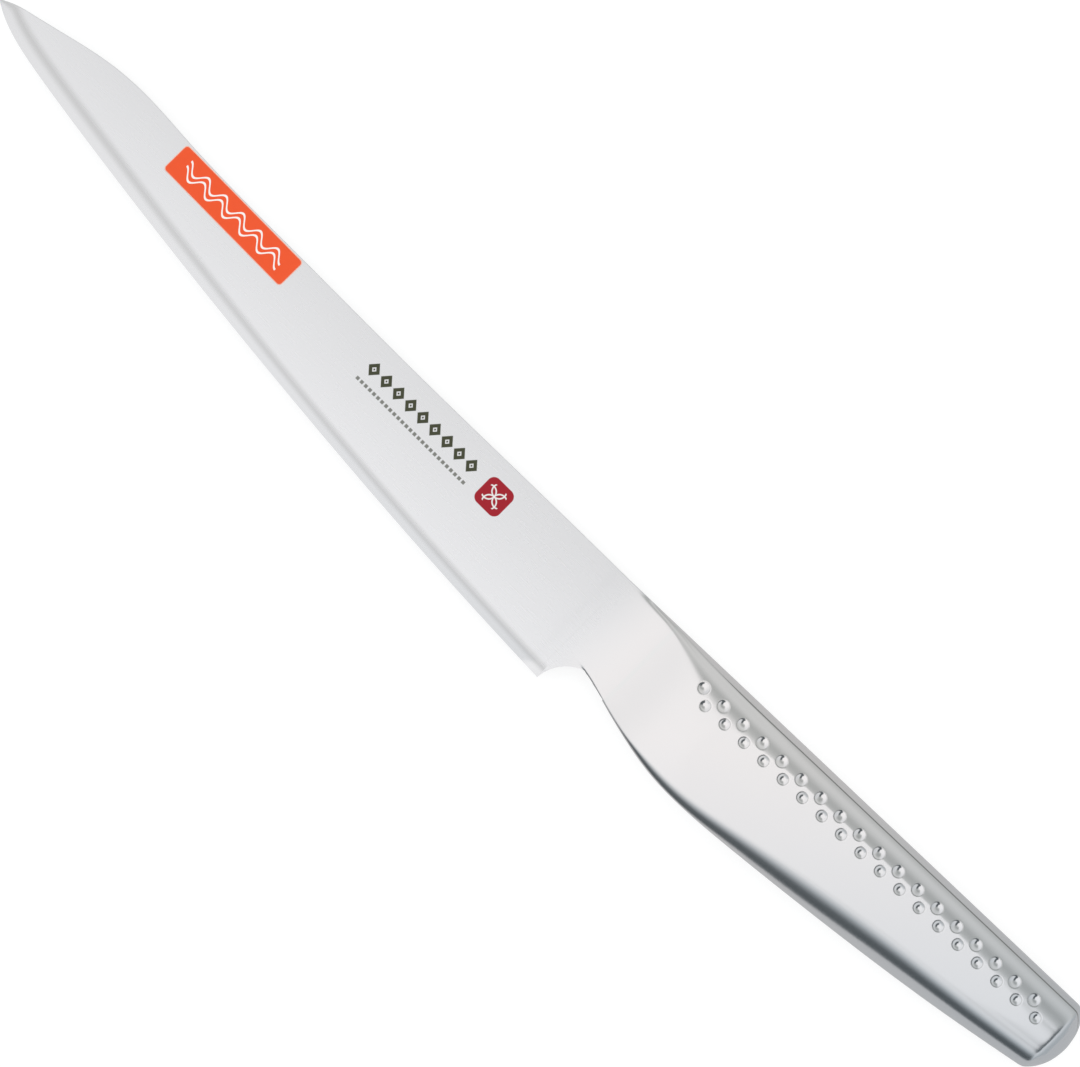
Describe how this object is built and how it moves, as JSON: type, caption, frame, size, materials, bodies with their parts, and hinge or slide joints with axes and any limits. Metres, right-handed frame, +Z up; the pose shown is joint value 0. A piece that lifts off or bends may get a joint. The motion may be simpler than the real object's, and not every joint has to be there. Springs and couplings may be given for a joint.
{
  "type": "fillet knife",
  "caption": "Slim kitchen knife with a thin pointed blade, a finger notch and a hollow dimpled steel handle.",
  "frame": {"origin": "middle of the flat side of the grip that the knife lies on", "axes": "+X along the knife from the point to the butt, +Y from the edge to the spine, +Z up, out of the left side of the blade"},
  "size_m": [0.2953, 0.0295, 0.0138],
  "materials": {
    "blade_steel": "fine satin grind along the blade, polished keen bevel",
    "shell_steel": "soft satin pressed stainless steel",
    "weld_steel": "weld bead ground flush",
    "sand": "fine dry sand",
    "label_film": "glossy printed sticker"
  },
  "bodies": {
    "root": {"blade": "blade_steel", "left_handle_shell": "shell_steel", "right_handle_shell": "shell_steel", "neck_weld": "weld_steel", "spine_seam_weld": "weld_steel", "belly_seam_weld": "weld_steel", "fill_plug": "weld_steel", "balance_sand": "sand", "blade_label": "label_film"}
  },
  "joints": []
}
